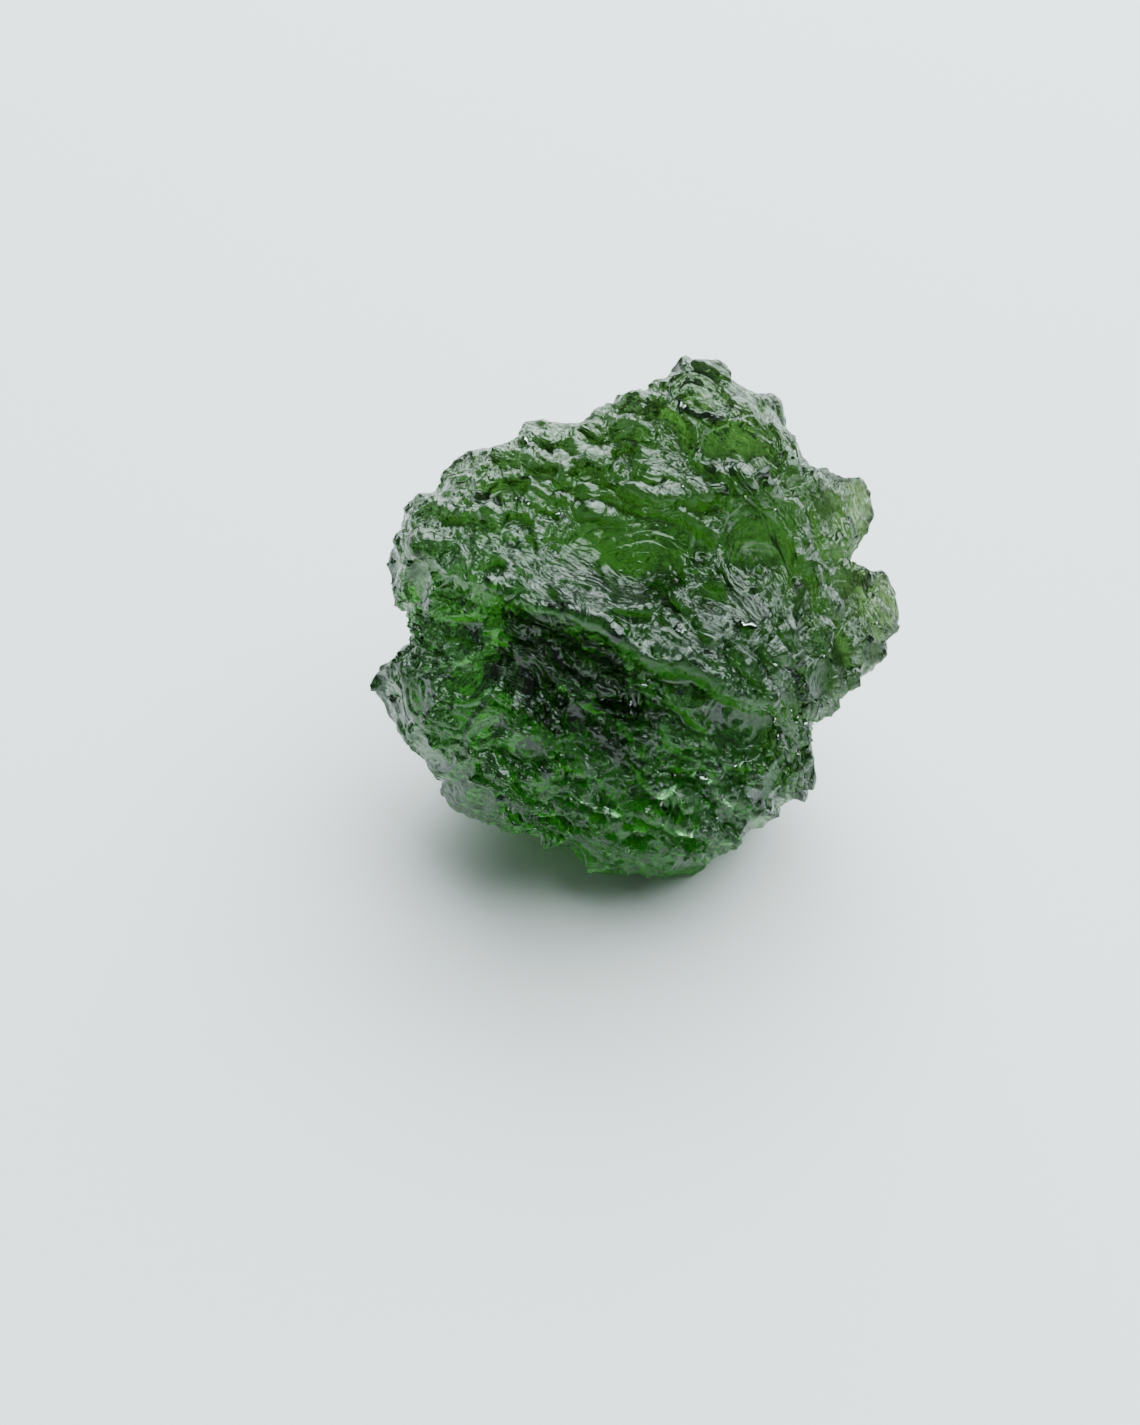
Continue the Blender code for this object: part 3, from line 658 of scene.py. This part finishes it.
# Painted shade: the skin is darker over the top, the left end and the bottom, so that no thin edge
# glares.
TOP_SHADE = (3.0, 14.0, 1.0, 0.72)  # heights from the shelf
LEFT_SHADE = (-10.0, -16.0, 1.0, 0.6)
BOTTOM_SHADE = (-11.0, -17.0, 1.0, 0.5)


def glass_material():
    """See-through green glass with painted shade, smooth in its scoops and frosted where it looks
    up.
    """
    look = bpy.context.scene.moldavite_glass
    glass = bpy.data.materials.new("moldavite_glass")
    glass.use_nodes = True
    tree = Tree(glass.node_tree)
    surface = tree.nodes["Principled BSDF"]
    output = tree.nodes["Material Output"]
    relief, worn, lift = (tree.add("ShaderNodeAttribute", {"attribute_name": name}).outputs["Fac"]
                          for name in ("relief", "worn", "lift"))
    flow = tree.add("ShaderNodeAttribute", {"attribute_name": "flow"}).outputs["Vector"]
    across = tree.add("ShaderNodeSeparateXYZ", Vector=flow).outputs

    # Frost lies on what looks up, on ridges, on the lobes and all over the back, and little of it
    # in scoops.
    clear = tree.math("MULTIPLY", tree.ramp(worn, *CLEAR_WORN), tree.ramp(lift, *CLEAR_LIFT))
    frost = tree.math("MAXIMUM", tree.ramp(lift, *FROST_LIFT), tree.ramp(relief, *FROST_RELIEF))
    frost = tree.math("MULTIPLY", frost, tree.between(clear, 1.0, FROST_IN_CLEAR))
    frost = tree.math("MAXIMUM", frost, tree.ramp(across["Z"], *FROST_BACK))
    frost = tree.math("MAXIMUM", frost, tree.ramp(across["X"], *FROST_LOBES))
    roughness = tree.between(frost, look.hollow_roughness, look.ridge_roughness)

    # Fine crinkles with sharp crests, strong in the frost
    place = tree.moved_about(flow, CRINKLE_DRIFT, CRINKLE_DRIFT_NOISE)
    fibres = tree.add("ShaderNodeTexNoise", Vector=tree.vector("MULTIPLY", place, FIBRE_STRETCH),
                      **FIBRE_NOISE)
    fibres = tree.math("ABSOLUTE", tree.math("SUBTRACT", fibres.outputs[0], MIDDLE))
    dents = tree.add("ShaderNodeTexVoronoi", Vector=tree.vector("MULTIPLY", place, DENT_STRETCH),
                     Scale=DENT_SCALE).outputs["Distance"]
    height = tree.math("MULTIPLY_ADD", tree.math("MULTIPLY", dents, dents), DENT_HEIGHT,
                       tree.math("MULTIPLY", fibres, FIBRE_HEIGHT))
    height = tree.math("MULTIPLY", height, tree.between(frost, *CRINKLE_SHARES))
    bump = tree.add("ShaderNodeBump", Distance=CRINKLE_DEPTH, Height=height)

    # Tints that the skin gives the light: olive above and emerald below, and painted shade
    wander = tree.add("ShaderNodeTexNoise", Vector=flow, **LOW_NOISE).outputs[0]
    low = tree.ramp(tree.math("MULTIPLY_ADD", wander, LOW_WANDER, across["Y"]), *LOW)
    # The Mix node's sockets for colours share their names with others, so they go by number.
    # The upper skin is darker than the lower: painted shade above the shelf, besides its olive
    # tint.
    skin = tree.add("ShaderNodeMix", {"data_type": "RGBA"})
    for socket, value in zip((skin.inputs["Factor"], skin.inputs[6], skin.inputs[7]),
                             (low, (*look.upper_skin_and_shade, 1), (*look.lower_skin, 1))):
        tree.feed(socket, value)
    # Painted shade in patches, most of them near the thick middle below the shelf
    patch = tree.add("ShaderNodeTexNoise", Vector=tree.vector("MULTIPLY", flow, PATCH_STRETCH),
                     **PATCH_NOISE).outputs[0]
    middle = tree.vector("MULTIPLY", tree.vector("SUBTRACT", flow, SHADE_MIDDLE), MIDDLE_STRETCH)
    near = tree.ramp(tree.vector("LENGTH", middle), *NEAR_MIDDLE)
    painted_shade = tree.ramp(tree.math("ADD", patch, near), *SHADE_PATCHES)
    # Painted shade in crevices, where the surface lies in
    painted_shade = tree.math("MULTIPLY", tree.ramp(relief, *CREVICE_SHADE), painted_shade)
    # Painted shade over the top, the left end and the bottom
    for axis, thin in (("Y", TOP_SHADE), ("X", LEFT_SHADE), ("Y", BOTTOM_SHADE)):
        painted_shade = tree.math("MULTIPLY", painted_shade, tree.ramp(across[axis], *thin))
    # The skin darkened by all the painted shade
    shaded = tree.vector("SCALE", skin.outputs[2], scale=painted_shade)
    tree.feed(surface.inputs["Base Color"], shaded)
    tree.feed(surface.inputs["Roughness"], roughness)
    surface.inputs["Metallic"].default_value = 0.0
    surface.inputs["IOR"].default_value = look.ior
    surface.inputs["Transmission Weight"].default_value = 1.0
    tree.feed(surface.inputs["Normal"], bump.outputs[0])
    inside = tree.add("ShaderNodeVolumeAbsorption", Color=(*look.absorption_colour, 1),
                      Density=look.absorption_density)
    tree.feed(output.inputs["Volume"], inside.outputs[0])
    return glass


class MoldaviteShape(bpy.types.PropertyGroup):
    """Sizes of the lump that a user would change."""

    face_tilt: FloatProperty(
        name="Face tilt", description="How far the sight line of the etched face rises above level",
        default=math.radians(38.0), subtype="ANGLE")
    bowl_depth: FloatProperty(
        name="Bowl depth", description="Depth of the small bowls, where 1 is as photographed",
        default=1.0)
    fleck_tilt: FloatProperty(
        name="Fleck tilt", description="How steeply the flecks lean, where 1 is as photographed",
        default=1.0)
    etching_scale: FloatProperty(
        name="Etching scale", description="Size of bowls and flecks, where 1 is as photographed",
        default=1.0)
    step_depth: FloatProperty(
        name="Step depth", description="Depth of the small ledges, in millimetres", default=0.42)
    etch_seed: IntProperty(
        name="Etching seed", description="Another number moves every bowl and fleck", default=3)
    most_faces: IntProperty(
        name="Most faces", description="Triangles that the finished lump may have", default=196000)


class MoldaviteGlass(bpy.types.PropertyGroup):
    """Colours and finish of the glass."""

    # Darker than the lower skin, so it paints shade above the shelf as well as its olive tint.
    upper_skin_and_shade: FloatVectorProperty(
        name="Upper skin", description="Tint that light takes as it crosses the upper surface",
        default=(0.37, 0.51, 0.24), subtype="COLOR", size=3)
    lower_skin: FloatVectorProperty(
        name="Lower skin", description="Tint that light takes as it crosses the lower surface",
        default=(0.62, 1.0, 0.65), subtype="COLOR", size=3)
    absorption_colour: FloatVectorProperty(
        name="Absorption colour", description="Colour that the glass lets through",
        default=(0.38, 0.63, 0.21), subtype="COLOR", size=3)
    absorption_density: FloatProperty(
        name="Absorption density", description="How soon the glass darkens, per metre",
        default=236.0)
    ior: FloatProperty(name="IOR", description="How strongly the glass bends light", default=1.49)
    hollow_roughness: FloatProperty(
        name="Hollow roughness", description="Roughness of the smooth glass", default=0.08)
    ridge_roughness: FloatProperty(
        name="Ridge roughness", description="Roughness of the frosted glass", default=0.18)


class MoldaviteStudio(bpy.types.PropertyGroup):
    """Floor, light and camera."""

    floor_colour: FloatVectorProperty(
        name="Floor colour", description="Colour of the studio floor",
        default=(0.59, 0.555, 0.59), subtype="COLOR", size=3)
    sky_colour: FloatVectorProperty(
        name="Sky colour", description="Colour of the even light all round",
        default=(0.80, 0.88, 0.95), subtype="COLOR", size=3)
    sky_strength: FloatProperty(
        name="Sky strength", description="Even light all round", default=0.30)
    back_light: FloatProperty(
        name="Back light", description="Power of the softbox behind the lump", default=28.0,
        unit="POWER")
    top_light: FloatProperty(
        name="Top light", description="Power of the softbox overhead", default=25.0, unit="POWER")
    light_colour: FloatVectorProperty(
        name="Light colour", description="Colour of both softboxes",
        default=(0.80, 1.0, 0.93), subtype="COLOR", size=3)
    camera_rise: FloatProperty(
        name="Camera rise", description="How far above level the camera looks down from",
        default=math.radians(38.0), subtype="ANGLE")
    camera_distance: FloatProperty(
        name="Camera distance", description="From the lump's middle to the camera",
        default=0.182, subtype="DISTANCE")


class MOLDAVITE_OT_lump(bpy.types.Operator):
    """Make the etched lump of glass and put it in place of its plain solid"""

    bl_idname = "moldavite.lump"
    bl_label = "Make the Lump"

    def execute(self, context):
        shape = context.scene.moldavite_shape
        draft = bpy.data.objects.new("lump_draft", make_form())
        context.scene.collection.objects.link(draft)
        tree = etching_tree(glass_material())
        etching = draft.modifiers.new("etching", "NODES")
        etching.node_group = tree
        values = {"Bowl Depth": shape.bowl_depth, "Fleck Tilt": shape.fleck_tilt,
                  "Step Depth": shape.step_depth, "Etching Scale": shape.etching_scale,
                  "Seed": shape.etch_seed}
        for item in tree.interface.items_tree:
            if item.name in values:
                etching[item.identifier] = values[item.name]
        fewer = draft.modifiers.new("fewer faces", "DECIMATE")
        fewer.ratio = shape.most_faces / len(draft.data.polygons)
        evaluated = draft.evaluated_get(context.evaluated_depsgraph_get())
        mesh = bpy.data.meshes.new_from_object(evaluated)
        bpy.data.objects.remove(draft)
        mesh.name = "etched_lump"
        lump = bpy.data.objects.new("etched_lump", mesh)
        context.scene.collection.objects.link(lump)
        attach(lump, "root")
        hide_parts(NODE)
        return {"FINISHED"}


# Floor, softboxes and camera, in metres
FLOOR_SIZE = 2.0
FLOOR_GAP = 0.00002  # below the lump, so that the two faces don't flicker
FLOOR_ROUGHNESS = 0.9
LIGHT_AIM = (0, 0, 0.02)
# Each softbox: where it hangs, its width and height
BACK_SOFTBOX = ((0.25, 0.55, 0.39), (1.40, 0.92))
TOP_SOFTBOX = ((0.15, 0.11, 0.70), (1.30, 0.66))
LENS = 60.0  # millimetres
LENS_SHIFT = (-67 / 1425, -87 / 1425)  # puts the lump above and right of the picture's middle
NEAREST_SEEN = 0.005


def soft_box(name, place, size, power, colour):
    """A rectangular softbox that looks at the lump."""
    light = bpy.data.lights.new(name, "AREA")
    light.shape = "RECTANGLE"
    light.size, light.size_y = size
    light.energy = power
    light.color = colour
    box = bpy.data.objects.new(name, light)
    bpy.context.scene.collection.objects.link(box)
    box.location = place
    box.rotation_euler = (Vector(LIGHT_AIM) - Vector(place)).to_track_quat("-Z", "Y").to_euler()


class MOLDAVITE_OT_stage(bpy.types.Operator):
    """Lay the pale floor, hang the soft lights and set up the camera"""

    bl_idname = "moldavite.stage"
    bl_label = "Set the Stage"

    def execute(self, context):
        studio = context.scene.moldavite_studio
        scene = context.scene
        grid = bmesh.new()
        bmesh.ops.create_grid(grid, x_segments=1, y_segments=1, size=FLOOR_SIZE)
        mesh = bpy.data.meshes.new("studio_floor")
        grid.to_mesh(mesh)
        grid.free()
        mesh.transform(Matrix.Translation((0, 0, -FLOOR_GAP)))
        floor = bpy.data.objects.new("studio_floor", mesh)
        scene.collection.objects.link(floor)
        paint = bpy.data.materials.new("studio_floor")
        paint.use_nodes = True
        surface = paint.node_tree.nodes["Principled BSDF"]
        surface.inputs["Base Color"].default_value = (*studio.floor_colour, 1)
        surface.inputs["Roughness"].default_value = FLOOR_ROUGHNESS
        mesh.materials.append(paint)

        world = bpy.data.worlds.new("studio")
        scene.world = world
        world.use_nodes = True
        sky = world.node_tree.nodes["Background"].inputs
        sky["Color"].default_value = (*studio.sky_colour, 1)
        sky["Strength"].default_value = studio.sky_strength
        soft_box("back_softbox", *BACK_SOFTBOX, studio.back_light, studio.light_colour)
        soft_box("top_softbox", *TOP_SOFTBOX, studio.top_light, studio.light_colour)

        low, high = (Vector(corner) for corner in CAD_BOX)
        middle = (low + high) / 2
        rise = studio.camera_rise
        back = Vector((0, -math.cos(rise), math.sin(rise)))
        lens = bpy.data.cameras.new("camera")
        lens.lens = LENS
        camera = bpy.data.objects.new("camera", lens)
        scene.collection.objects.link(camera)
        camera.location = middle + back * studio.camera_distance
        camera.rotation_euler = (-back).to_track_quat("-Z", "Y").to_euler()
        lens.shift_x, lens.shift_y = LENS_SHIFT
        lens.clip_start = NEAREST_SEEN
        scene.camera = camera
        return {"FINISHED"}


class MOLDAVITE_PT_panel(bpy.types.Panel):
    """Lists the steps and the values they use"""

    bl_idname = "MOLDAVITE_PT_panel"
    bl_label = "Moldavite"
    bl_space_type = "VIEW_3D"
    bl_region_type = "UI"
    bl_category = "Moldavite"

    def draw(self, context):
        layout = self.layout
        for operator, group in STEPS:
            box = layout.box()
            box.operator(operator)
            for name in group:
                settings = getattr(context.scene, name)
                for value in settings.__annotations__:
                    box.prop(settings, value)


STEPS = [
    (MOLDAVITE_OT_lump.bl_idname, ("moldavite_shape", "moldavite_glass")),
    (MOLDAVITE_OT_stage.bl_idname, ("moldavite_studio",)),
]
SETTINGS = {
    "moldavite_shape": MoldaviteShape,
    "moldavite_glass": MoldaviteGlass,
    "moldavite_studio": MoldaviteStudio,
}
CLASSES = (*SETTINGS.values(), MOLDAVITE_OT_lump, MOLDAVITE_OT_stage, MOLDAVITE_PT_panel)


def register():
    for cls in CLASSES:
        bpy.utils.register_class(cls)
    for name, cls in SETTINGS.items():
        setattr(bpy.types.Scene, name, PointerProperty(type=cls))


def unregister():
    for name in SETTINGS:
        delattr(bpy.types.Scene, name)
    for cls in reversed(CLASSES):
        bpy.utils.unregister_class(cls)


def main():
    register()
    bpy.ops.moldavite.lump()
    bpy.ops.moldavite.stage()


if __name__ == "__main__":
    main()
